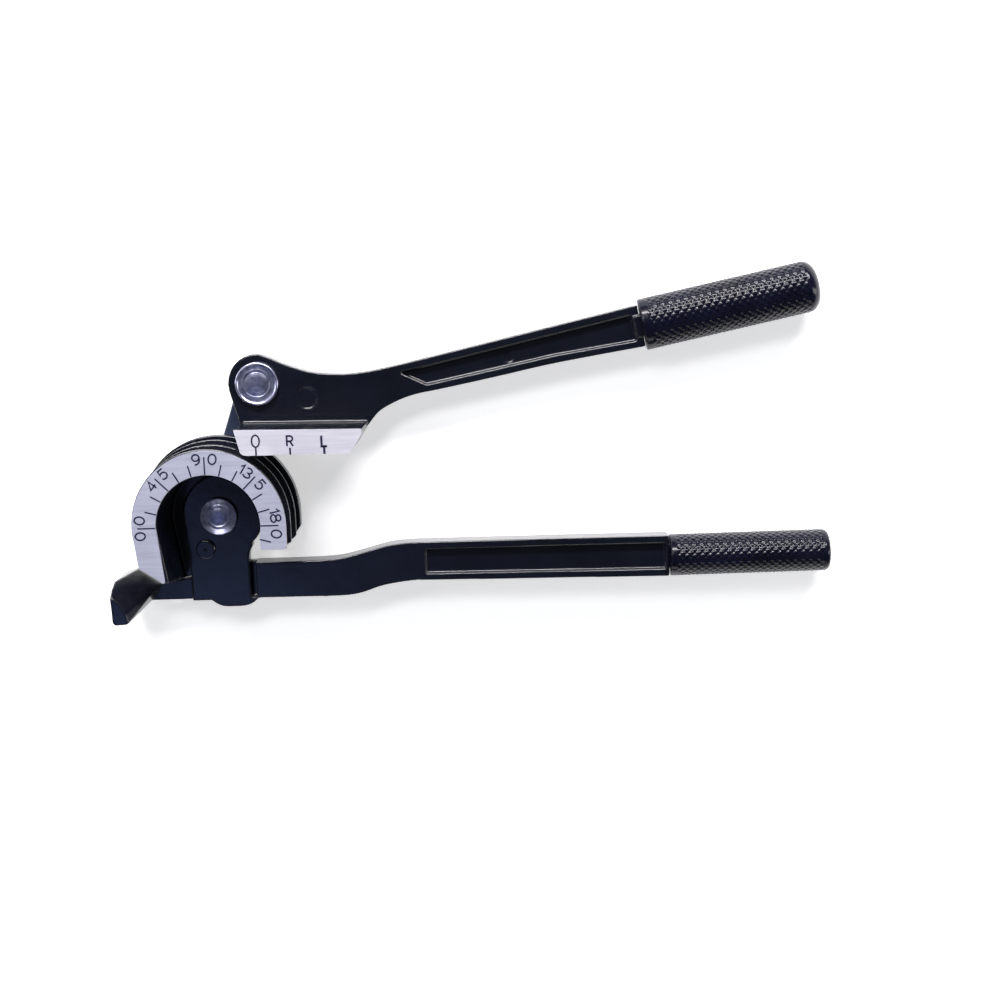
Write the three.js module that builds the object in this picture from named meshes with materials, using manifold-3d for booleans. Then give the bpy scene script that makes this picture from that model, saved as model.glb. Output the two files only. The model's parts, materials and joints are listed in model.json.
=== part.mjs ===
// Three-size lever tube bender, millimetres, +Z up.
// The tool lies on its back. The origin is on the former's pivot axis, at the lowest face.
// +X runs along the lower handle, +Y towards the upper lever, +Z towards the scale.

import * as THREE from 'three';
import { mergeVertices } from 'three/addons/utils/BufferGeometryUtils.js';
import { ConvexGeometry } from 'three/addons/geometries/ConvexGeometry.js';
import Module from 'manifold-3d';

const wasm = await Module();
wasm.setup();

const vec = (x, y) => new THREE.Vector2(x, y);
const degrees = THREE.MathUtils.degToRad;

// Stack, from the back to the front.
const GAP = 0.3;
const RIVET_BACK = 1.6;
const LINK_BACK = RIVET_BACK + GAP;
const LINK_THICK = 4;
const LINK_FRONT = LINK_BACK + LINK_THICK;
const CAST_BACK = LINK_FRONT + GAP;
const WEB_FRONT = CAST_BACK + 3;
const EYE_BACK = WEB_FRONT + GAP;
const ARM_FRONT = CAST_BACK + 4.7;
const EYE_FRONT = 15;
const RIVET_FRONT = 17.3;
const RAIL_FRONT = 16.3;
const CAST_FRONT = 40.2;
const PLATE_BACK = CAST_FRONT + GAP;
const PLATE_FRONT = 41.3;

// Former: three grooves of one bend radius, for tubes of 1/4, 5/16 and 3/8 inch.
const BEND_RADIUS = 33;
const GROOVES = [
  { z: 14.4, radius: 3.2 },
  { z: 23.1, radius: 4.0 },
  { z: 33.4, radius: 4.8 },
];
const FLANGE_RADII = [35.5, 34.5, 33.6, 33.2];
const HOLLOW_RADIUS = 22.2;
const LEG_TURN = degrees(9.5);
const LEG_LENGTH = 26;
const LEG_LEAN = 0.146;
const RIGHT_END = -10.5;
const LEG_CORNERS = [[-31.1, -17.2], [-20.5, -24.3]];

// Pivots.
const FORMER = vec(0, 0);
const SHOE = vec(20, 58.3);
const LOCK_PIN = vec(-6.7, -14.8);
const PIN_RADIUS = 2.3;
const SHANK_RADIUS = 4.6;
const SHOE_CLOSE = degrees(18);

// Handles and grips.
const RAIL_MIDDLE = 11.25;
const RECESS_DEPTH = 2.6;
const MARK_DEPTH = 0.4;
const ARM_TOP = [[-29.1, -31], [-14, -28.2]];
const NECK_LEFT = -14;
const NECK_RIGHT = 12.4;
const NECK_TOP = -29.2;
const NECK_BOTTOM = -38.4;
const RAIL_START = 15.2;
const RAIL_ROOT = [-37.2, -21.4];
const TANG_HALF = 4.6;
const LOWER_GRIP = {
  x: 199.5, y: -23.3, turn: 0.6, length: 70.1, width: 18.4, depth: 22.5, dome: 2.5, tip: 0.83,
};
const UPPER_GRIP = {
  x: 188.3, y: 79.2, turn: 11.6, length: 77.8, width: 22.5, depth: 22.5, dome: 6, tip: 0.35,
};

const PAINT = { color: 0x11141f, roughness: 0.28, metalness: 0.1 };
const GRIP = { color: 0x0c0c0e, roughness: 0.6, metalness: 0 };
const SILVER = { color: 0xb9b6c8, roughness: 0.4, metalness: 0.7 };
const STEEL = { color: 0xa9a8b8, roughness: 0.3, metalness: 0.9 };


// A closed three.js geometry as a manifold, with its faces pointing out.
function solid(geometry) {
  const bare = geometry.clone();
  bare.deleteAttribute('normal');
  bare.deleteAttribute('uv');
  const merged = mergeVertices(bare, 1e-4);
  const vertProperties = new Float32Array(merged.attributes.position.array);
  const triVerts = new Uint32Array(merged.index.array);
  if (signedVolume(vertProperties, triVerts) < 0) {
    for (let i = 0; i < triVerts.length; i += 3) {
      [triVerts[i], triVerts[i + 1]] = [triVerts[i + 1], triVerts[i]];
    }
  }
  return new wasm.Manifold(new wasm.Mesh({ numProp: 3, vertProperties, triVerts }));
}

function signedVolume(points, triangles) {
  const [a, b, c] = [new THREE.Vector3(), new THREE.Vector3(), new THREE.Vector3()];
  let volume = 0;
  for (let i = 0; i < triangles.length; i += 3) {
    a.fromArray(points, triangles[i] * 3);
    b.fromArray(points, triangles[i + 1] * 3);
    c.fromArray(points, triangles[i + 2] * 3);
    volume += a.dot(b.cross(c)) / 6;
  }
  return volume;
}

function extrude(shape, back, front, curveSegments = 12) {
  const settings = { depth: front - back, bevelEnabled: false, curveSegments };
  return solid(new THREE.ExtrudeGeometry(shape, settings).translate(0, 0, back));
}

function outline(points) {
  return new THREE.Shape(points.map(([x, y]) => vec(x, y)));
}

function disc(centre, radius, back, front, sides = 32) {
  const geometry = new THREE.CylinderGeometry(radius, radius, front - back, sides);
  geometry.rotateX(Math.PI / 2).translate(centre.x, centre.y, (back + front) / 2);
  return solid(geometry);
}

function block(xs, ys, zs) {
  const geometry = new THREE.BoxGeometry(xs[1] - xs[0], ys[1] - ys[0], zs[1] - zs[0]);
  geometry.translate((xs[0] + xs[1]) / 2, (ys[0] + ys[1]) / 2, (zs[0] + zs[1]) / 2);
  return solid(geometry);
}

function revolve(points, centre, sides = 40) {
  const profile = points.map(([r, z]) => vec(r, z));
  const geometry = new THREE.LatheGeometry(profile, sides).rotateX(Math.PI / 2);
  return solid(geometry.translate(centre.x, centre.y, 0));
}

function piece(name, body, look) {
  const mesh = body.getMesh();
  const geometry = new THREE.BufferGeometry();
  geometry.setAttribute('position', new THREE.BufferAttribute(mesh.vertProperties, 3));
  geometry.setIndex(new THREE.BufferAttribute(mesh.triVerts, 1));
  geometry.computeVertexNormals();
  const result = new THREE.Mesh(geometry, new THREE.MeshStandardMaterial(look));
  result.name = name;
  return result;
}

// The rim's section as points of radius and height, from the hollow round the grooves.
function rimSection() {
  const points = [vec(HOLLOW_RADIUS, CAST_BACK), vec(FLANGE_RADII[0], CAST_BACK)];
  GROOVES.forEach(({ z, radius }, i) => {
    points.push(vec(FLANGE_RADII[i], z - radius));
    for (let k = 0; k <= 8; k += 1) {
      const angle = (Math.PI * k) / 8;
      points.push(vec(BEND_RADIUS - radius * Math.sin(angle), z - radius * Math.cos(angle)));
    }
    points.push(vec(FLANGE_RADII[i + 1], z + radius));
  });
  points.push(vec(FLANGE_RADII[3], CAST_FRONT), vec(HOLLOW_RADIUS, CAST_FRONT));
  return points;
}

// A straight run of the rim, leaving the circle at the right or at the left side.
function rimLeg(length, side) {
  const section = new THREE.Shape(rimSection().map((p) => vec(side * p.x, p.y)));
  const overlap = 0.5;
  const settings = { depth: length + overlap, bevelEnabled: false };
  const geometry = new THREE.ExtrudeGeometry(section, settings).rotateX(Math.PI / 2);
  return geometry.translate(0, overlap, 0);
}

// The room below the left leg. It leans, so that the leg reaches further down at the back.
function belowLeftLeg() {
  const reach = 60;
  const shape = outline([
    ...LEG_CORNERS, [-15, LEG_CORNERS[1][1]], [-15, -reach], [-reach, -reach], [-reach, LEG_CORNERS[0][1]],
  ]);
  const geometry = new THREE.ExtrudeGeometry(shape, { depth: 60, bevelEnabled: false });
  const lean = new THREE.Matrix4().set(
    1, 0, 0, 0,
    0, 1, LEG_LEAN, -LEG_LEAN * CAST_FRONT,
    0, 0, 1, 0,
    0, 0, 0, 1,
  );
  return solid(geometry.applyMatrix4(lean));
}

// The arm of the lower handle with its clearance.
function armRoom() {
  const [[x0, y0], [x1, y1]] = ARM_TOP;
  const right = NECK_LEFT + GAP;
  const slope = (y1 - y0) / (x1 - x0);
  const shape = outline([[x0 - 10, -60], [x0 - 10, y0 - 10 * slope + GAP], [right, y1 + GAP], [right, -60]]);
  return extrude(shape, 0, ARM_FRONT + GAP);
}

function formerWheel() {
  const closed = [...rimSection(), rimSection()[0]].map((p) => [p.x, p.y]);
  const reach = 60;
  const webRight = 11.2;
  const webBottom = NECK_TOP + GAP;
  const sector = outline([[0, 1], [-reach, 1], [-reach, -reach * Math.tan(LEG_TURN)], [0, 0]]);
  const backEnd = outline([[36, -5.4], [29.3, -14.4], [20, -14.4], [20, -30], [reach, -30], [reach, -5.4]]);
  const webBelow = outline([[-21.5, webBottom], [webRight, webBottom], [webRight, 0], [-21.5, 0]]);
  const arc = revolve(closed, FORMER, 72);
  const leftLeg = solid(rimLeg(LEG_LENGTH, -1).rotateZ(LEG_TURN));
  const outerCorner = outline([[36, -7], [31, -12.5], [reach, -12.5], [reach, -7]]);
  const rightLeg = solid(rimLeg(14.4, 1))
    .subtract(extrude(backEnd, 0, 18))
    .subtract(extrude(outerCorner, 17, CAST_FRONT - 2))
    .subtract(block([20, reach], [-30, RIGHT_END], [18, 50]));
  const web = disc(FORMER, HOLLOW_RADIUS + 0.6, CAST_BACK, WEB_FRONT, 72)
    .subtract(block([webRight, reach], [-reach, -8], [0, 50]))
    .add(extrude(webBelow, CAST_BACK, WEB_FRONT));
  return arc.subtract(block([-reach, reach], [-reach, 0], [0, 50]))
    .add(arc.intersect(extrude(sector, 0, 50)))
    .add(leftLeg)
    .add(rightLeg)
    .subtract(belowLeftLeg())
    .add(web)
    .subtract(armRoom())
    .subtract(disc(FORMER, SHANK_RADIUS + GAP, 0, 50))
    .subtract(disc(LOCK_PIN, PIN_RADIUS + GAP, 0, 50));
}

// The scale plate lies on the front face of the rim and follows its outline.
function degreePlate() {
  const outer = 33;
  const inner = 22.5;
  const middle = vec(0.3, -0.2);
  const right = middle.x + outer;
  const shape = new THREE.Shape();
  shape.moveTo(inner - 0.4, RIGHT_END + 0.8);
  shape.quadraticCurveTo(inner - 0.4, RIGHT_END, inner + 0.6, RIGHT_END);
  shape.lineTo(right - 1.5, RIGHT_END);
  shape.quadraticCurveTo(right, RIGHT_END, right, RIGHT_END + 1.5);
  shape.lineTo(right, middle.y);
  shape.absarc(middle.x, middle.y, outer, 0, Math.PI + LEG_TURN, false);
  shape.lineTo(-30.9, -17.2);
  shape.lineTo(-21.6, -23.6);
  shape.quadraticCurveTo(-20.2, -24.6, -19.9, -23.4);
  shape.lineTo(-inner + 0.2, -1);
  shape.absarc(0, 0, inner, Math.PI, 0, true);
  shape.lineTo(inner - 0.4, -4);
  return extrude(shape, PLATE_BACK, PLATE_FRONT, 28);
}

function eyeOutline() {
  const shape = new THREE.Shape();
  shape.moveTo(NECK_RIGHT, NECK_TOP - 0.8);
  shape.lineTo(NECK_RIGHT, -18.5);
  shape.quadraticCurveTo(12.6, -16, 14.4, -13.4);
  shape.absarc(1.8, 0.8, 18.1, degrees(-48), Math.PI, false);
  shape.lineTo(NECK_LEFT, -26);
  shape.lineTo(NECK_LEFT, NECK_TOP - 0.8);
  return shape;
}

// The arm between the neck and the hook.
function armOutline() {
  return outline([
    [NECK_LEFT + 1, NECK_TOP], [NECK_LEFT, NECK_TOP], [NECK_LEFT, ARM_TOP[1][1]], ARM_TOP[0], [-38.5, -31.5],
    [-38.5, -38.6], [NECK_LEFT + 1, -38.5],
  ]);
}

// The neck's foot with the rounded pad below it.
function padOutline() {
  const shape = new THREE.Shape();
  shape.moveTo(NECK_RIGHT, NECK_BOTTOM + 1);
  shape.lineTo(NECK_RIGHT, NECK_TOP);
  shape.lineTo(NECK_LEFT, NECK_TOP);
  shape.lineTo(NECK_LEFT, NECK_BOTTOM);
  shape.lineTo(-5.4, NECK_BOTTOM);
  shape.quadraticCurveTo(-2.2, -41.2, 1, -41.4);
  shape.lineTo(7.5, -41.4);
  shape.quadraticCurveTo(12.6, -41.2, 14.8, NECK_BOTTOM);
  shape.lineTo(17.6, NECK_BOTTOM + 1);
  return shape;
}

function lowerRailOutline() {
  const top = new THREE.SplineCurve([
    vec(RAIL_START, -21.2), vec(35, -21.1), vec(52.3, -20.4), vec(66.5, -17),
    vec(77.5, -14.5), vec(98, -13.8), vec(199, -13.6),
  ]).getPoints(24);
  const bottom = new THREE.SplineCurve([
    vec(199, -31.9), vec(98, -31.2), vec(87, -31), vec(72.1, -33),
    vec(57.8, -37), vec(34.3, -37.4), vec(RAIL_START, -37.4),
  ]).getPoints(24);
  return new THREE.Shape([...top, ...bottom]);
}

// The hook's inner side slopes, wide at the arm and narrow at the front.
function hook() {
  const back = [[-45, -42.4], [-45.2, -26], [-38.6, -24.1], ARM_TOP[0], [-33.3, -38.6], [-36.4, -41.6]];
  const middle = [[-45, -25.6]];
  const shoulder = [[-44.6, -28.2]];
  const front = [
    [-43.9, -41.4], [-44.4, -30.3], [-43.1, -30.6], [-40.8, -32.9],
    [-37.9, -37.7], [-36.8, -41.6], [-38.2, -42.4], [-42.8, -42.6],
  ];
  const levels = [[back, CAST_BACK], [back, ARM_FRONT], [middle, 30], [shoulder, 37.5], [front, 40.8]];
  const points = levels.flatMap(([ring, z]) => ring.map(([x, y]) => new THREE.Vector3(x, y, z)));
  return solid(new ConvexGeometry(points));
}

function lowerHandle() {
  const recess = outline([[91, -17], [197.5, -16.8], [197.5, -28.6], [91, -28.2]]);
  const joint = block([NECK_RIGHT - 0.8, RAIL_START + 2], RAIL_ROOT, [CAST_BACK, ARM_FRONT]);
  return extrude(eyeOutline(), EYE_BACK, EYE_FRONT)
    .add(extrude(armOutline(), CAST_BACK, ARM_FRONT))
    .add(extrude(padOutline(), CAST_BACK, EYE_FRONT))
    .add(extrude(lowerRailOutline(), CAST_BACK, RAIL_FRONT))
    .add(joint)
    .add(hook())
    .add(tang(LOWER_GRIP))
    .subtract(extrude(recess, RAIL_FRONT - RECESS_DEPTH, 30))
    .subtract(extrude(recess, 0, CAST_BACK + RECESS_DEPTH))
    .subtract(disc(FORMER, SHANK_RADIUS + GAP, 0, 30))
    .subtract(disc(LOCK_PIN, PIN_RADIUS + GAP, 0, 30));
}

// The square bar that each grip is pressed on.
function tang({ x, y, turn, length }) {
  const bar = new THREE.BoxGeometry(length - 6, 2 * TANG_HALF, 2 * TANG_HALF);
  bar.translate(length / 2 - 6, 0, RAIL_MIDDLE);
  bar.rotateZ(degrees(turn)).translate(x, y, 0);
  return solid(bar);
}

// A grip is a bar of oval section with a domed end and a blind square hole for the tang.
function grip({ x, y, turn, length, width, depth, dome, tip }) {
  const steps = 5;
  const rings = [[0, 0.97], [1.2, 1], [length - dome, 1]];
  for (let k = 1; k <= steps; k += 1) {
    const angle = (Math.PI / 2) * (k / steps);
    rings.push([length - dome + dome * Math.sin(angle), tip + (1 - tip) * Math.cos(angle)]);
  }
  const points = rings.flatMap(([along, scale]) => gripRing(along, scale, width, depth));
  const side = 2 * (TANG_HALF + GAP);
  const bore = new THREE.BoxGeometry(length, side, side).translate(length / 2 - 8, 0, 0);
  const turned = degrees(turn);
  const outer = new ConvexGeometry(points).rotateZ(turned).translate(x, y, RAIL_MIDDLE);
  return solid(outer).subtract(solid(bore.rotateZ(turned).translate(x, y, RAIL_MIDDLE)));
}

function gripRing(along, scale, width, depth) {
  const sides = 28;
  return Array.from({ length: sides }, (_, k) => {
    const angle = (2 * Math.PI * k) / sides;
    const y = (width / 2) * scale * Math.cos(angle);
    const z = (depth / 2) * scale * Math.sin(angle);
    return new THREE.Vector3(along, y, z);
  });
}

function leverOutline() {
  const shape = new THREE.Shape();
  shape.moveTo(8.8, 50);
  shape.absarc(SHOE.x, SHOE.y, 12.9, degrees(195), Math.PI / 2 - 0.1, true);
  shape.splineThru([
    vec(26.6, 69), vec(33.2, 66.1), vec(43.1, 62.9), vec(51.4, 61.8), vec(59.7, 61.6),
    vec(68.1, 62.4), vec(76.5, 63.9), vec(91.5, 67.1), vec(125.4, 74.6), vec(186, 88.1),
  ]);
  shape.lineTo(189.7, 70.1);
  shape.splineThru([
    vec(150.6, 63.8), vec(124.9, 58.6), vec(99.2, 53.6), vec(91, 52.2), vec(84.4, 50.4),
    vec(78.7, 48), vec(72.9, 44.7), vec(69, 40.3), vec(66.5, 37), vec(63.4, 32),
  ]);
  shape.quadraticCurveTo(62.4, 30.2, 60, 30.2);
  shape.lineTo(18, 30.3);
  shape.quadraticCurveTo(15.9, 30.6, 15.4, 32);
  shape.lineTo(11.5, 40.8);
  return shape;
}

function shoeOutline() {
  const shape = new THREE.Shape();
  shape.moveTo(13.1, 41.3);
  shape.lineTo(15.4, 32);
  shape.quadraticCurveTo(15.9, 30.6, 18, 30.3);
  shape.lineTo(60, 30.2);
  shape.quadraticCurveTo(62.4, 30.2, 63.4, 32);
  shape.lineTo(67.3, 38.6);
  shape.lineTo(67.3, 40.6);
  return shape;
}

// The room that the former needs while the shoe closes on it.
function formerRoom(radius, back, front) {
  let room = disc(FORMER, radius, back, front, 72);
  const steps = 4;
  for (let k = 1; k <= steps; k += 1) {
    const centre = FORMER.clone().rotateAround(SHOE, (SHOE_CLOSE * k) / steps);
    room = room.add(disc(centre, radius, back, front, 72));
  }
  return room;
}

function upperLever() {
  const recess = outline([
    [82, 61.6], [94, 64.1], [125, 71], [183.2, 83.9], [185.9, 72.6], [150, 67.2], [124.5, 62], [94, 55.9],
  ]);
  const recessFloor = EYE_FRONT - RECESS_DEPTH;
  let body = extrude(leverOutline(), CAST_BACK, EYE_FRONT, 4)
    .add(extrude(shoeOutline(), EYE_FRONT - 1, CAST_FRONT))
    .add(tang(UPPER_GRIP))
    .subtract(extrude(recess, recessFloor, 30))
    .subtract(extrude(recess, 0, CAST_BACK + RECESS_DEPTH))
    .subtract(disc(SHOE, SHANK_RADIUS + GAP, 0, 30))
    .subtract(disc(vec(41.3, 51.4), 4.8, EYE_FRONT - MARK_DEPTH, 30, 24))
    .subtract(disc(vec(129.8, 67), 2.7, recessFloor - MARK_DEPTH, 30, 20))
    .subtract(formerRoom(FLANGE_RADII[0] + 0.5, 0, GROOVES[2].z + GROOVES[2].radius))
    .subtract(formerRoom(FLANGE_RADII[3] + 0.4, 30, 50));
  const channelY = SHOE.y - (SHOE.length() - BEND_RADIUS);
  const play = 0.15;
  for (const { z, radius } of GROOVES) {
    const channel = new THREE.CylinderGeometry(radius + play, radius + play, 120, 24);
    body = body.subtract(solid(channel.rotateZ(Math.PI / 2).translate(SHOE.x, channelY, z)));
  }
  return body;
}

function markPlate() {
  return extrude(shoeOutline(), PLATE_BACK, PLATE_FRONT)
    .subtract(formerRoom(FLANGE_RADII[3] + 0.4, 30, 50));
}

function linkPlate() {
  const halfWidth = 9.3;
  const turn = Math.atan2(SHOE.y, SHOE.x);
  const shape = new THREE.Shape();
  shape.absarc(SHOE.length(), 0, halfWidth, -Math.PI / 2, Math.PI / 2, false);
  shape.absarc(0, 0, halfWidth, Math.PI / 2, (Math.PI * 3) / 2, false);
  const settings = { depth: LINK_THICK, bevelEnabled: false, curveSegments: 16 };
  const geometry = new THREE.ExtrudeGeometry(shape, settings);
  return solid(geometry.rotateZ(turn).translate(0, 0, LINK_BACK))
    .subtract(disc(FORMER, SHANK_RADIUS + GAP, 0, 30))
    .subtract(disc(SHOE, SHANK_RADIUS + GAP, 0, 30));
}

// A rivet with a flat back head and a turned front head.
function rivet(centre, headRadius) {
  const front = EYE_FRONT + GAP;
  return revolve([
    [0, 0], [headRadius - 0.4, 0], [headRadius, 0.4], [headRadius, RIVET_BACK],
    [SHANK_RADIUS, RIVET_BACK], [SHANK_RADIUS, front], [headRadius, front],
    [headRadius, RIVET_FRONT - 0.5], [headRadius - 0.5, RIVET_FRONT], [headRadius - 2, RIVET_FRONT],
    [headRadius - 2.4, RIVET_FRONT - 0.4], [0, RIVET_FRONT - 0.4],
  ], centre);
}

function lockPin() {
  const headBack = EYE_FRONT + GAP;
  return revolve([
    [0, CAST_BACK], [PIN_RADIUS, CAST_BACK], [PIN_RADIUS, headBack], [4.3, headBack],
    [4.3, headBack + 0.9], [3.9, headBack + 1.3], [0.8, headBack + 1.3], [0, headBack + 1.1],
  ], LOCK_PIN, 28);
}

const group = new THREE.Group();
group.add(
  piece('lower_handle', lowerHandle(), PAINT),
  piece('former_wheel', formerWheel(), PAINT),
  piece('degree_plate', degreePlate(), SILVER),
  piece('lock_pin', lockPin(), PAINT),
  piece('former_rivet', rivet(FORMER, 8.2), STEEL),
  piece('link_plate', linkPlate(), PAINT),
  piece('upper_lever', upperLever(), PAINT),
  piece('mark_plate', markPlate(), SILVER),
  piece('shoe_rivet', rivet(SHOE, 9.4), STEEL),
  piece('lower_grip', grip(LOWER_GRIP), GRIP),
  piece('upper_grip', grip(UPPER_GRIP), GRIP),
);

export default group;
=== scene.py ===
import json
import math

import bmesh
import bpy
from mathutils import Matrix, Vector

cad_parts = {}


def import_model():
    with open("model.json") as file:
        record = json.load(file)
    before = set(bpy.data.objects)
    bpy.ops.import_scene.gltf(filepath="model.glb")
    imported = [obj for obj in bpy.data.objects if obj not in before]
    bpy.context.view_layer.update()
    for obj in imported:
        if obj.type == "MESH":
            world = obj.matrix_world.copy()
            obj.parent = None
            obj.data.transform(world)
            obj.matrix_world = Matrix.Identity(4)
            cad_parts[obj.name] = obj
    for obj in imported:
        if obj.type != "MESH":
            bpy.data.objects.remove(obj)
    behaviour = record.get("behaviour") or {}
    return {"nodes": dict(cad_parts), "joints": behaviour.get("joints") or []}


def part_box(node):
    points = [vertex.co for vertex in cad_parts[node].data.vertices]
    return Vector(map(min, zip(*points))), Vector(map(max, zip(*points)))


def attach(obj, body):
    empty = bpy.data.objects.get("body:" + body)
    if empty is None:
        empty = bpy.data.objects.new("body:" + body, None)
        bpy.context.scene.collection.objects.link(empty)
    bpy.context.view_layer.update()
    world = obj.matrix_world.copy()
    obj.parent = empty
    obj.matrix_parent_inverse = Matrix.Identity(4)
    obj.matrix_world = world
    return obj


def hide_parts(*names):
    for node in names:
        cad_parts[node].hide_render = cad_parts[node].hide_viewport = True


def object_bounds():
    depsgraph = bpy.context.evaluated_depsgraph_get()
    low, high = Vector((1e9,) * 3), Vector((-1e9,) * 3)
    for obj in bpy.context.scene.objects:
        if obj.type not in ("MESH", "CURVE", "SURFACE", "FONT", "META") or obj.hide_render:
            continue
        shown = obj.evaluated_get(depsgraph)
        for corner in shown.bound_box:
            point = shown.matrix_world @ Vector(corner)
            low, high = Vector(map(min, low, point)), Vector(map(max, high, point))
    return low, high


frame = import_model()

CAD_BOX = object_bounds()
MM = 0.001
HANDLE = "lower_handle_body"
LINK = "link_body"
LEVER = "lever_body"

# Places from the frame, in metres.
PLATE_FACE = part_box("degree_plate")[1].z
PLATE_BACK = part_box("degree_plate")[0].z
STRIP_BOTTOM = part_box("mark_plate")[0].y
SHOE = next(Vector(joint["pos_m"]) for joint in frame["joints"] if joint["name"] == "lever_swing")

# The print on the two silver plates, in metres. Reaches are in parts of the scale's inner radius.
PRINT_HEIGHT = 0.03 * MM
SCALE_INNER = 22.5 * MM
TICK_STEP = 15
LAST_TICK = 195
LONG_TICK_STEP = 45
TICK_REACH = 1.228
LONG_TICK_REACH = 1.346
TICK_WIDTH = 0.62 * MM
FIGURE_RADIUS = 29.4 * MM
FIGURE_WIDE = 3.3 * MM
ONE_WIDE = 3.0 * MM
FIGURE_TALL = 4.3 * MM
FIGURE_PEN = 0.72 * MM
MARK_MARGIN = 0.15 * MM

# The knurl on the grips, in metres.
KNURL_PITCH = 3.4 * MM
KNURL_HEIGHT = 0.34 * MM
KNURL_ROWS = 20
KNURL_DETAIL = 12
EDGE_EASE = 0.8 * MM

# The studio, in metres.
TOOL_MIDDLE = (0.11, 0.02, 0.0)
FLOOR_GAP = 0.0004
FLOOR_HALF = 6.0
WALL_RADIUS = 5.5
WALL_HEIGHT = 6.0
WALL_MIDDLE = 2.9
WHITE = (1.0, 1.0, 1.0)


# ---------------------------------------------------------------- materials

def material(name):
    """A new material with its node tree emptied down to a Principled shader."""
    made = bpy.data.materials.new(name)
    made.use_nodes = True
    tree = made.node_tree
    tree.nodes.clear()
    output = tree.nodes.new("ShaderNodeOutputMaterial")
    shader = tree.nodes.new("ShaderNodeBsdfPrincipled")
    tree.links.new(shader.outputs["BSDF"], output.inputs["Surface"])
    return made, tree, shader


def set_inputs(tree, node, inputs):
    """Links each named socket to another node's output, or gives it a plain value."""
    for key, value in inputs.items():
        if isinstance(value, bpy.types.NodeSocket):
            tree.links.new(value, node.inputs[key])
        else:
            node.inputs[key].default_value = value


def add(tree, kind, inputs=None, **settings):
    node = tree.nodes.new(kind)
    for key, value in settings.items():
        setattr(node, key, value)
    set_inputs(tree, node, inputs or {})
    return node


def object_noise(tree, scale, detail=4.0, stretch=(1, 1, 1)):
    """Noise in the piece's own coordinates, so that it moves with the piece."""
    where = add(tree, "ShaderNodeTexCoord").outputs["Object"]
    mapped = add(tree, "ShaderNodeMapping", {"Vector": where, "Scale": stretch}).outputs["Vector"]
    noise = add(tree, "ShaderNodeTexNoise", {"Vector": mapped, "Scale": scale, "Detail": detail})
    return noise.outputs["Fac"]


def two_tone(tree, value, dark_at, dark, light_at, light):
    """A colour that runs from dark to light as the value goes from dark_at to light_at."""
    node = add(tree, "ShaderNodeValToRGB", {"Fac": value})
    stops = ((dark_at, dark), (light_at, light))
    for element, (place_at, colour) in zip(node.color_ramp.elements, stops):
        element.position = place_at
        element.color = (*colour, 1.0)
    return node.outputs["Color"]


def span(tree, value, low, high):
    """The value, which runs from 0 to 1, brought between low and high."""
    node = add(tree, "ShaderNodeMapRange", {"Value": value, "To Min": low, "To Max": high})
    return node.outputs["Result"]


def bump(tree, height, distance, strength=1.0, below=None):
    """A bumped normal, on top of another one if that is given."""
    inputs = {"Height": height, "Distance": distance, "Strength": strength}
    if below is not None:
        inputs["Normal"] = below
    return add(tree, "ShaderNodeBump", inputs).outputs["Normal"]


def enamel(name, dark, light):
    """Glossy near-black enamel with a navy tinge over die-cast metal."""
    made, tree, shader = material(name)
    cast = bump(tree, object_noise(tree, 260.0, 2.0), 0.00006)
    set_inputs(tree, shader, {
        "Base Color": two_tone(tree, object_noise(tree, 35.0), 0.3, dark, 0.7, light),
        "Roughness": span(tree, object_noise(tree, 90.0), 0.16, 0.30),
        "Normal": bump(tree, object_noise(tree, 1500.0, 2.0), 0.000012, below=cast),
        "Coat Weight": 0.25,
        "Coat Roughness": 0.08,
    })
    return made


def grip_black(name, dark, light):
    """Black moulded plastic with a faint navy tinge and uneven gloss."""
    made, tree, shader = material(name)
    set_inputs(tree, shader, {
        "Base Color": two_tone(tree, object_noise(tree, 60.0), 0.3, dark, 0.7, light),
        "Roughness": span(tree, object_noise(tree, 240.0), 0.14, 0.26),
        "Normal": bump(tree, object_noise(tree, 1800.0, 3.0), 0.000008),
        "Specular IOR Level": 0.2,
    })
    return made


def silver_plate(name, dark, light):
    """Satin silver plate with a lavender cast and fine brushing along X."""
    made, tree, shader = material(name)
    brushed = object_noise(tree, 900.0, 3.0, (0.06, 1, 1))
    cloud = object_noise(tree, 45.0)
    mixed = add(tree, "ShaderNodeMath", {0: brushed, 1: cloud}, operation="MULTIPLY")
    set_inputs(tree, shader, {
        "Base Color": two_tone(tree, mixed.outputs["Value"], 0.1, dark, 0.45, light),
        "Roughness": span(tree, brushed, 0.38, 0.55),
        "Normal": bump(tree, brushed, 0.00001),
        "Metallic": 0.35,
    })
    return made


def print_ink(name, dark, light):
    """Dark navy ink, slightly uneven where it was pressed on."""
    made, tree, shader = material(name)
    cloud = object_noise(tree, 700.0)
    set_inputs(tree, shader, {
        "Base Color": two_tone(tree, cloud, 0.3, dark, 0.75, light),
        "Roughness": span(tree, cloud, 0.5, 0.7),
        "Specular IOR Level": 0.2,
    })
    return made


def turned_steel(name, dark, light):
    """Bright steel with the fine rings of a turning tool around the piece's own Z axis."""
    made, tree, shader = material(name)
    rings = add(tree, "ShaderNodeTexWave", {
        "Vector": add(tree, "ShaderNodeTexCoord").outputs["Object"],
        "Scale": 420.0,
        "Distortion": 1.2,
        "Detail": 2.0,
        "Detail Scale": 2.0,
    }, wave_type="RINGS", rings_direction="Z")
    cloud = object_noise(tree, 420.0, 5.0)
    pits = bump(tree, cloud, 0.00004)
    set_inputs(tree, shader, {
        "Base Color": two_tone(tree, cloud, 0.35, dark, 0.65, light),
        "Roughness": span(tree, cloud, 0.22, 0.42),
        "Normal": bump(tree, rings.outputs["Fac"], 0.00003, 0.7, pits),
        "Metallic": 1.0,
    })
    return made


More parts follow.
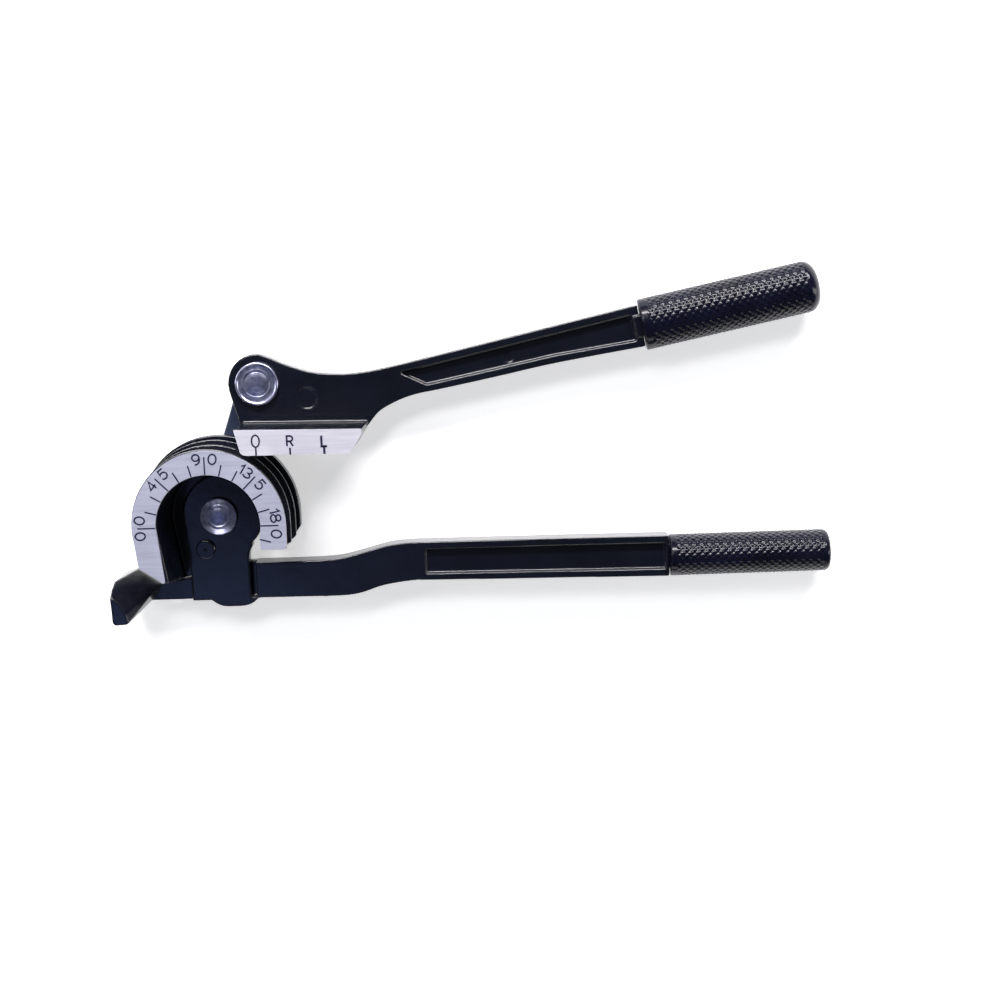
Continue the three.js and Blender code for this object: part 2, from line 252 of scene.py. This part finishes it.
def studio_white(name, dark, light):
    """Matte white that glows a little, as a floor lit from all around does."""
    made, tree, shader = material(name)
    tone = two_tone(tree, object_noise(tree, 3.0), 0.3, dark, 0.7, light)
    set_inputs(tree, shader, {
        "Base Color": tone,
        "Roughness": 0.9,
        "Specular IOR Level": 0.1,
        "Emission Color": tone,
        "Emission Strength": 0.55,
    })
    return made


ENAMEL = enamel("black_enamel", (0.0014, 0.002, 0.0045), (0.0028, 0.0038, 0.0085))
# Painted light: the link plate has the same black enamel, and this copy is made lighter and bluer to stand
# in for the light that falls on the link.
LIT_LINK_ENAMEL = enamel("lit_link_enamel", (0.016, 0.021, 0.042), (0.026, 0.033, 0.062))
GRIP = grip_black("grip_black", (0.0018, 0.0021, 0.0055), (0.0035, 0.0042, 0.011))
SCALE_SILVER = silver_plate("scale_silver", (0.30, 0.31, 0.39), (0.40, 0.415, 0.50))
STRIP_SILVER = silver_plate("strip_silver", (0.46, 0.455, 0.51), (0.60, 0.59, 0.645))
INK = print_ink("print_ink", (0.008, 0.008, 0.026), (0.016, 0.015, 0.045))
STEEL = turned_steel("turned_steel", (0.30, 0.31, 0.45), (0.50, 0.51, 0.68))
STUDIO_WHITE = studio_white("studio_white", (0.86, 0.86, 0.86), (0.90, 0.90, 0.90))


# ---------------------------------------------------------------- mesh tools

def place(name, mesh, look, body, node=None, smooth=True, location=None):
    """Puts a finished mesh in the scene as a piece that rides on a body."""
    mesh.materials.clear()
    mesh.materials.append(look)
    for polygon in mesh.polygons:
        polygon.use_smooth = smooth
    piece = bpy.data.objects.new(name, mesh)
    bpy.context.scene.collection.objects.link(piece)
    if location is not None:
        piece.location = location
        bpy.context.view_layer.update()
    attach(piece, body)
    if node:
        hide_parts(node)


def loose_copy(node):
    """An object with a copy of a CAD node's mesh, not yet in the scene."""
    return bpy.data.objects.new("loose", frame["nodes"][node].data.copy())


def settle(loose):
    """Applies a loose object's modifiers and returns its final mesh."""
    bpy.context.scene.collection.objects.link(loose)
    graph = bpy.context.evaluated_depsgraph_get()
    mesh = bpy.data.meshes.new_from_object(loose.evaluated_get(graph))
    bpy.data.objects.remove(loose)
    return mesh


def mesh_of(shape, name):
    """Turns a bmesh into a mesh and frees it."""
    mesh = bpy.data.meshes.new(name)
    shape.to_mesh(mesh)
    shape.free()
    return mesh


def closed_mesh_of(shape, name):
    """Turns a closed bmesh into a mesh whose faces all point out."""
    bmesh.ops.recalc_face_normals(shape, faces=shape.faces)
    return mesh_of(shape, name)


def joined(meshes):
    shape = bmesh.new()
    for mesh in meshes:
        shape.from_mesh(mesh)
    return mesh_of(shape, "joined")


# ---------------------------------------------------------------- castings

def rounded_casting(node, voxel, passes):
    """The node's solid as one even skin, with the rounded edges and inner corners of a casting."""
    loose = loose_copy(node)
    skin = loose.modifiers.new("skin", "REMESH")
    skin.mode = "VOXEL"
    skin.voxel_size = voxel
    ease = loose.modifiers.new("ease", "SMOOTH")
    ease.factor = 0.5
    ease.iterations = passes
    return settle(loose)


def castings():
    rows = [
        ("lower_handle", "handle_casting", HANDLE, 0.36, 6, ENAMEL),
        ("former_wheel", "former_casting", HANDLE, 0.34, 5, ENAMEL),
        ("upper_lever", "lever_casting", LEVER, 0.36, 6, ENAMEL),
        # The link plate gets the lightened enamel copy, which is painted light.
        ("link_plate", "link_casting", LINK, 0.40, 5, LIT_LINK_ENAMEL),
        ("lock_pin", "staked_lock_pin", HANDLE, 0.16, 5, ENAMEL),
    ]
    for node, name, body, voxel, passes, look in rows:
        place(name, rounded_casting(node, voxel * MM, passes), look, body, node)


# ---------------------------------------------------------------- silver plates

def lowered_face():
    """A move that thins a plate, so that its face lies under the print by the print's height."""
    shrink = (PLATE_FACE - PRINT_HEIGHT - PLATE_BACK) / (PLATE_FACE - PLATE_BACK)
    lift = Matrix.Translation((0, 0, PLATE_BACK))
    return lift @ Matrix.Diagonal((1, 1, shrink, 1)) @ lift.inverted()


def silver_plates():
    rows = [
        ("degree_plate", "degree_plate_sheet", HANDLE, SCALE_SILVER),
        ("mark_plate", "mark_plate_sheet", LEVER, STRIP_SILVER),
    ]
    for node, name, body, look in rows:
        loose = loose_copy(node)
        edge = loose.modifiers.new("edge", "BEVEL")
        edge.width = 0.12 * MM
        edge.segments = 2
        edge.limit_method = "ANGLE"
        edge.angle_limit = math.radians(50)
        mesh = settle(loose)
        mesh.transform(lowered_face())
        place(name, mesh, look, body, node, smooth=False)


# ---------------------------------------------------------------- print

def bow(x, y, wide, tall, start, end, steps=10):
    """Points on part of an oval, from start to end in degrees."""
    angles = [math.radians(start + (end - start) * k / steps) for k in range(steps + 1)]
    return [(x + wide * math.cos(a), y + tall * math.sin(a)) for a in angles]


# Each character is one or more pen lines in a box from -0.5 to 0.5.
PEN_LINES = {
    "0": [bow(0, 0, 0.5, 0.5, 90, 450, 24)],
    "1": [[(-0.32, 0.22), (0.08, 0.5), (0.08, -0.5)]],
    "3": [bow(-0.04, 0.25, 0.42, 0.25, 155, -90) + bow(-0.04, -0.25, 0.5, 0.25, 90, -150)[1:]],
    "4": [[(0.22, -0.5), (0.22, 0.5), (-0.5, -0.2), (0.5, -0.2)]],
    "5": [[(0.42, 0.5), (-0.3, 0.5), (-0.38, 0.04)] + bow(-0.02, -0.16, 0.5, 0.34, 130, -145)],
    "8": [bow(0, 0.26, 0.4, 0.24, 90, 450, 20), bow(0, -0.24, 0.5, 0.26, 90, 450, 20)],
    "9": [bow(0, 0.18, 0.46, 0.32, 0, 360, 20), bow(-0.1, 0.02, 0.56, 0.52, 15, -105)],
    "R": [
        [(-0.4, -0.5), (-0.4, 0.5), (0.05, 0.5)]
        + bow(0.05, 0.24, 0.36, 0.26, 75, -90) + [(-0.4, -0.02)],
        [(0.02, -0.02), (0.46, -0.5)],
    ],
    "L": [[(-0.4, 0.5), (-0.4, -0.5), (0.5, -0.5)]],
}

# The figures at each reading of the scale, and how many degrees each stands from its tick.
FIGURES = {
    0: [("0", -6.6), ("0", 6.8)],
    45: [("4", -6.5), ("5", 7.4)],
    90: [("9", -6.8), ("0", 6.8)],
    135: [("1", -11.9), ("3", -6.2), ("5", 7.4)],
    180: [("1", -11.9), ("8", -6.2), ("0", 7.2)],
}

# Each mark on the strip, in mm: letter, centre x and y, width, height, line width, top of its tick.
MARKS = [
    ("0", 22.3, 36.5, 3.3, 5.1, 0.7, 33.8),
    ("R", 36.8, 36.2, 3.0, 4.3, 0.8, 33.4),
    ("L", 51.3, 35.9, 2.6, 4.6, 1.0, 33.2),
]
L_BAR = [(50.5 * MM, 33.4 * MM), (52.3 * MM, 33.4 * MM)]
L_BAR_WIDTH = 0.5 * MM


def ribbon_sides(points, width, closed):
    """At each point, the step from the line's middle to its left side, mitred at the corners."""
    count = len(points)
    sides = []
    for k, here in enumerate(points):
        before = points[k - 1] if closed or k else None
        after = points[(k + 1) % count] if closed or k < count - 1 else None
        into = (here - before).normalized() if before else (after - here).normalized()
        out = (after - here).normalized() if after else into
        along = (into + out).normalized()
        reach = min(width / 2 / max(0.35, along.dot(out)), width)
        sides.append(Vector((-along.y, along.x)) * reach)
    return sides


def ribbon(points, width):
    """A printed line of even width along the points, as a thin solid in the plate's face."""
    points = [Vector(p) for p in points]
    closed = (points[0] - points[-1]).length < 1e-7
    if closed:
        points.pop()
    count = len(points)
    sides = ribbon_sides(points, width, closed)
    top, bottom = PLATE_FACE, PLATE_FACE - 2 * PRINT_HEIGHT
    shape = bmesh.new()
    rails = []
    for side, height in ((1, top), (-1, top), (-1, bottom), (1, bottom)):
        rails.append([shape.verts.new((*(p + side * n), height)) for p, n in zip(points, sides)])
    for k in range(count if closed else count - 1):
        j = (k + 1) % count
        for near, far in zip(rails, rails[1:] + rails[:1]):
            shape.faces.new((near[k], near[j], far[j], far[k]))
    if not closed:
        shape.faces.new([rail[0] for rail in rails])
        shape.faces.new([rail[-1] for rail in rails[::-1]])
    return closed_mesh_of(shape, "ribbon")


def glyph(text, centre, turn, wide, tall, width):
    """One printed character, its pen lines sized, turned and centred on the plate's face."""
    size = Matrix.Diagonal((wide, tall, 1, 1))
    move = Matrix.Translation((*centre, 0)) @ Matrix.Rotation(turn, 4, "Z") @ size
    lines = [[(move @ Vector((x, y, 0))).to_2d() for x, y in line] for line in PEN_LINES[text]]
    return [ribbon(line, width) for line in lines]


def on_scale(radius, reading):
    """The point at a radius and a reading: 0 degrees is at the left, and readings run clockwise."""
    angle = math.pi - math.radians(reading)
    return Vector((radius * math.cos(angle), radius * math.sin(angle)))


def scale_print():
    parts = []
    for reading in range(0, LAST_TICK + 1, TICK_STEP):
        reach = TICK_REACH if reading % LONG_TICK_STEP else LONG_TICK_REACH
        start = on_scale(SCALE_INNER + 0.1 * MM, reading)
        parts.append(ribbon((start, on_scale(SCALE_INNER * reach, reading)), TICK_WIDTH))
    for reading, figures in FIGURES.items():
        for text, offset in figures:
            at = reading + offset
            centre = on_scale(FIGURE_RADIUS, at)
            wide = ONE_WIDE if text == "1" else FIGURE_WIDE
            parts += glyph(text, centre, math.radians(90 - at), wide, FIGURE_TALL, FIGURE_PEN)
    place("scale_print", joined(parts), INK, HANDLE, smooth=False)


def mark_print():
    foot = STRIP_BOTTOM + MARK_MARGIN
    parts = []
    for text, x, y, wide, tall, width, top in MARKS:
        parts += glyph(text, (x * MM, y * MM), 0, wide * MM, tall * MM, width * MM)
        parts.append(ribbon([(x * MM, foot), (x * MM, top * MM)], width * MM))
    parts.append(ribbon(L_BAR, L_BAR_WIDTH))
    place("mark_print", joined(parts), INK, LEVER, smooth=False)


# ---------------------------------------------------------------- rivets

# The dish in each rivet's front head: parts of the head's radius, and depths in mm.
FORMER_DISH = [
    (0.93, 0.06), (0.72, 0.86), (0.68, 0.92), (0.65, 0.66), (0.60, 0.58),
    (0.55, 0.62), (0.52, 0.84), (0.46, 0.86), (0.42, 0.68), (0.2, 0.74),
]
SHOE_DISH = [
    (0.90, 0.05), (0.875, 0.42), (0.85, 0.50), (0.66, 0.47), (0.63, 0.38),
    (0.60, 0.55), (0.56, 0.62), (0.53, 0.50), (0.3, 0.48),
]
HEAD_THICK = 2.0 * MM
BACK_HEAD_THICK = 1.6 * MM
SHANK_RADIUS = 4.6 * MM


def turned(profile, sides=96):
    """A closed body of revolution about Z from (radius, height) points that start and end on it."""
    angles = [2 * math.pi * k / sides for k in range(sides)]
    shape = bmesh.new()
    rings = []
    for radius, height in profile:
        if radius == 0:
            corners = [(0, 0, height)]
        else:
            corners = [(radius * math.cos(a), radius * math.sin(a), height) for a in angles]
        rings.append([shape.verts.new(corner) for corner in corners])
    for low, high in zip(rings, rings[1:]):
        for k in range(sides):
            j = (k + 1) % sides
            around = [low[k % len(low)], low[j % len(low)], high[j % len(high)], high[k % len(high)]]
            corners = list(dict.fromkeys(around))
            if len(corners) > 2:
                shape.faces.new(corners)
    return closed_mesh_of(shape, "turned")


def rivet_profile(node, radius, rim, dish):
    """A shank between a flat back head and a front head with a rounded rim and a dished middle."""
    low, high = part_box(node)[0].z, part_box(node)[1].z
    back_top = low + BACK_HEAD_THICK
    front_bottom = high - HEAD_THICK
    points = [(0, low), (radius - 0.5 * MM, low), (radius, low + 0.4 * MM), (radius, back_top)]
    points += [(SHANK_RADIUS, back_top), (SHANK_RADIUS, front_bottom)]
    points.append((radius - 0.3 * MM, front_bottom))
    for k in range(7):
        angle = math.radians(-20 + 110 * k / 6)
        points.append((radius - rim + rim * math.cos(angle), high - rim + rim * math.sin(angle)))
    points += [(radius * step, high - drop * MM) for step, drop in dish]
    points.append((0, high - dish[-1][1] * MM))
    return points


def rivets():
    shoe_axis = Vector((SHOE.x, SHOE.y, 0))
    rows = [
        ("former_rivet", "former_rivet_turned", HANDLE, Vector((0, 0, 0)), 8.2, 0.35, FORMER_DISH),
        ("shoe_rivet", "shoe_rivet_turned", LINK, shoe_axis, 9.4, 0.55, SHOE_DISH),
    ]
    for node, name, body, axis, radius, rim, dish in rows:
        mesh = turned(rivet_profile(node, radius * MM, rim * MM, dish))
        place(name, mesh, STEEL, body, node, location=axis)


# ---------------------------------------------------------------- grips

def knurl(along, around):
    """Height from 0 to 1 of a moulded knurl: rounded beads in a diamond pattern."""
    first = math.sin(math.pi * (along / KNURL_PITCH + around))
    second = math.sin(math.pi * (along / KNURL_PITCH - around))
    return abs(first * second) ** 0.8


def end_scale(x, length, dome, tip):
    """How far the grip's section has shrunk at x: a little at its start, and over its domed end."""
    if x < EDGE_EASE:
        return 1 - 0.03 * (1 - x / EDGE_EASE) ** 2
    beyond = max(0.0, (x - (length - dome)) / dome)
    return tip + (1 - tip) * math.sqrt(max(0.0, 1 - beyond * beyond))


def ring_places(length, dome):
    """Even steps along the grip, and closer ones where the dome turns in to the flat tip."""
    steps = int(length / (KNURL_PITCH / KNURL_DETAIL))
    places = [length * i / steps for i in range(steps)]
    places += [length - dome * (1 - math.sin(math.radians(a))) for a in (78, 82, 86, 90)]
    return sorted(places)


def grip_mesh(start, turn, length, width, depth, dome, tip, collar):
    """A bar of oval section, with beaded sides, a smooth collar and a domed end."""
    sides = KNURL_ROWS * KNURL_DETAIL
    shape = bmesh.new()
    rings = []
    for x in ring_places(length, dome):
        scale = end_scale(x, length, dome, tip)
        after_collar = max(0.0, (x - collar) / EDGE_EASE)
        before_dome = max(0.0, (length - 0.75 * dome - x) / (1.5 * MM))
        fade = min(1.0, after_collar, before_dome)
        ring = []
        for k in range(sides):
            angle = 2 * math.pi * k / sides
            drop = fade * KNURL_HEIGHT * (1 - knurl(x, KNURL_ROWS * k / sides))
            across = (width / 2 * scale - drop) * math.cos(angle)
            up = (depth / 2 * scale - drop) * math.sin(angle)
            ring.append(shape.verts.new((x, across, up)))
        rings.append(ring)
    for low, high in zip(rings, rings[1:]):
        for k in range(sides):
            j = (k + 1) % sides
            shape.faces.new((low[k], high[k], high[j], low[j]))
    for ring, x in ((rings[0], 0.0), (rings[-1], length)):
        hub = shape.verts.new((x, 0, 0))
        for k in range(sides):
            shape.faces.new((ring[k], ring[(k + 1) % sides], hub))
    mesh = closed_mesh_of(shape, "grip")
    mesh.transform(Matrix.Translation(start) @ Matrix.Rotation(turn, 4, "Z"))
    return mesh


def grips():
    """The start's x and y, length, width, dome and collar are in mm, and the turn is in degrees."""
    rows = [
        ("lower_grip", "lower_grip_knurled", HANDLE, 199.5, -23.3, 0.6, 70.1, 18.4, 2.5, 0.83, 2.5),
        ("upper_grip", "upper_grip_knurled", LEVER, 188.3, 79.2, 11.6, 77.8, 22.5, 6.0, 0.35, 3.2),
    ]
    for node, name, body, x, y, turn, length, width, dome, tip, collar in rows:
        low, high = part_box(node)
        start = Vector((x * MM, y * MM, (low.z + high.z) / 2))
        mesh = grip_mesh(
            start, math.radians(turn), length * MM, width * MM, high.z - low.z, dome * MM, tip, collar * MM,
        )
        place(name, mesh, GRIP, body, node)


# ---------------------------------------------------------------- studio

def staged(name, shape, height):
    """Puts a shape in the scene as a part of the studio, not of the tool."""
    mesh = mesh_of(shape, name)
    mesh.materials.append(STUDIO_WHITE)
    piece = bpy.data.objects.new(name, mesh)
    piece.location.z = height
    bpy.context.scene.collection.objects.link(piece)
    return piece


def floor():
    shape = bmesh.new()
    bmesh.ops.create_grid(shape, x_segments=8, y_segments=8, size=FLOOR_HALF)
    staged("floor", shape, CAD_BOX[0][2] - FLOOR_GAP)


def backdrop():
    """A pale round wall far behind the tool, which sends no light and no reflection onto it."""
    shape = bmesh.new()
    bmesh.ops.create_cone(
        shape, cap_ends=False, segments=64, radius1=WALL_RADIUS, radius2=WALL_RADIUS, depth=WALL_HEIGHT,
    )
    wall = staged("backdrop", shape, WALL_MIDDLE)
    wall.visible_diffuse = False
    wall.visible_glossy = False
    wall.visible_shadow = False


def softbox(name, place_at, size, power, colour=WHITE):
    """A rectangular lamp that faces the middle of the tool."""
    data = bpy.data.lights.new(name, "AREA")
    data.shape = "RECTANGLE"
    data.size, data.size_y = size
    data.energy = power
    data.color = colour
    lamp = bpy.data.objects.new(name, data)
    lamp.location = place_at
    direction = Vector(TOOL_MIDDLE) - Vector(place_at)
    lamp.rotation_euler = direction.to_track_quat("-Z", "Y").to_euler()
    bpy.context.scene.collection.objects.link(lamp)


def lights():
    softbox("back_strip", (0.12, 1.10, 0.70), (1.5, 0.16), 46, (1.0, 0.97, 1.0))
    softbox("high_box", (-0.22, 0.69, 0.96), (0.60, 0.22), 5)
    softbox("left_box", (-1.05, 0.25, 0.40), (0.30, 0.8), 5)
    softbox("right_box", (1.20, -0.05, 0.40), (0.30, 0.8), 5)
    softbox("front_box", (0.10, -1.15, 0.42), (1.4, 0.25), 4)
    softbox("sheen_panel", (-0.30, -0.40, 1.25), (0.40, 0.34), 0.30, (0.30, 0.42, 1.0))


def world():
    made = bpy.data.worlds.new("studio")
    made.use_nodes = True
    sky = made.node_tree.nodes["Background"]
    sky.inputs["Color"].default_value = (0.8, 0.85, 1.0, 1)
    sky.inputs["Strength"].default_value = 0.07
    bpy.context.scene.world = made


def camera():
    data = bpy.data.cameras.new("camera")
    data.sensor_fit = "HORIZONTAL"
    data.sensor_width = 36.0
    data.lens = 57.66
    data.clip_start = 0.01
    eye = bpy.data.objects.new("camera", data)
    eye.location = (0.13519, 0.12710, 0.71067)
    eye.rotation_euler = (-0.17542, 0.010703, -0.026934)
    bpy.context.scene.collection.objects.link(eye)
    bpy.context.scene.camera = eye


camera()
castings()
silver_plates()
scale_print()
mark_print()
rivets()
grips()
floor()
backdrop()
lights()
world()
bpy.context.scene.view_settings.view_transform = "Standard"

bpy.context.view_layer.update()
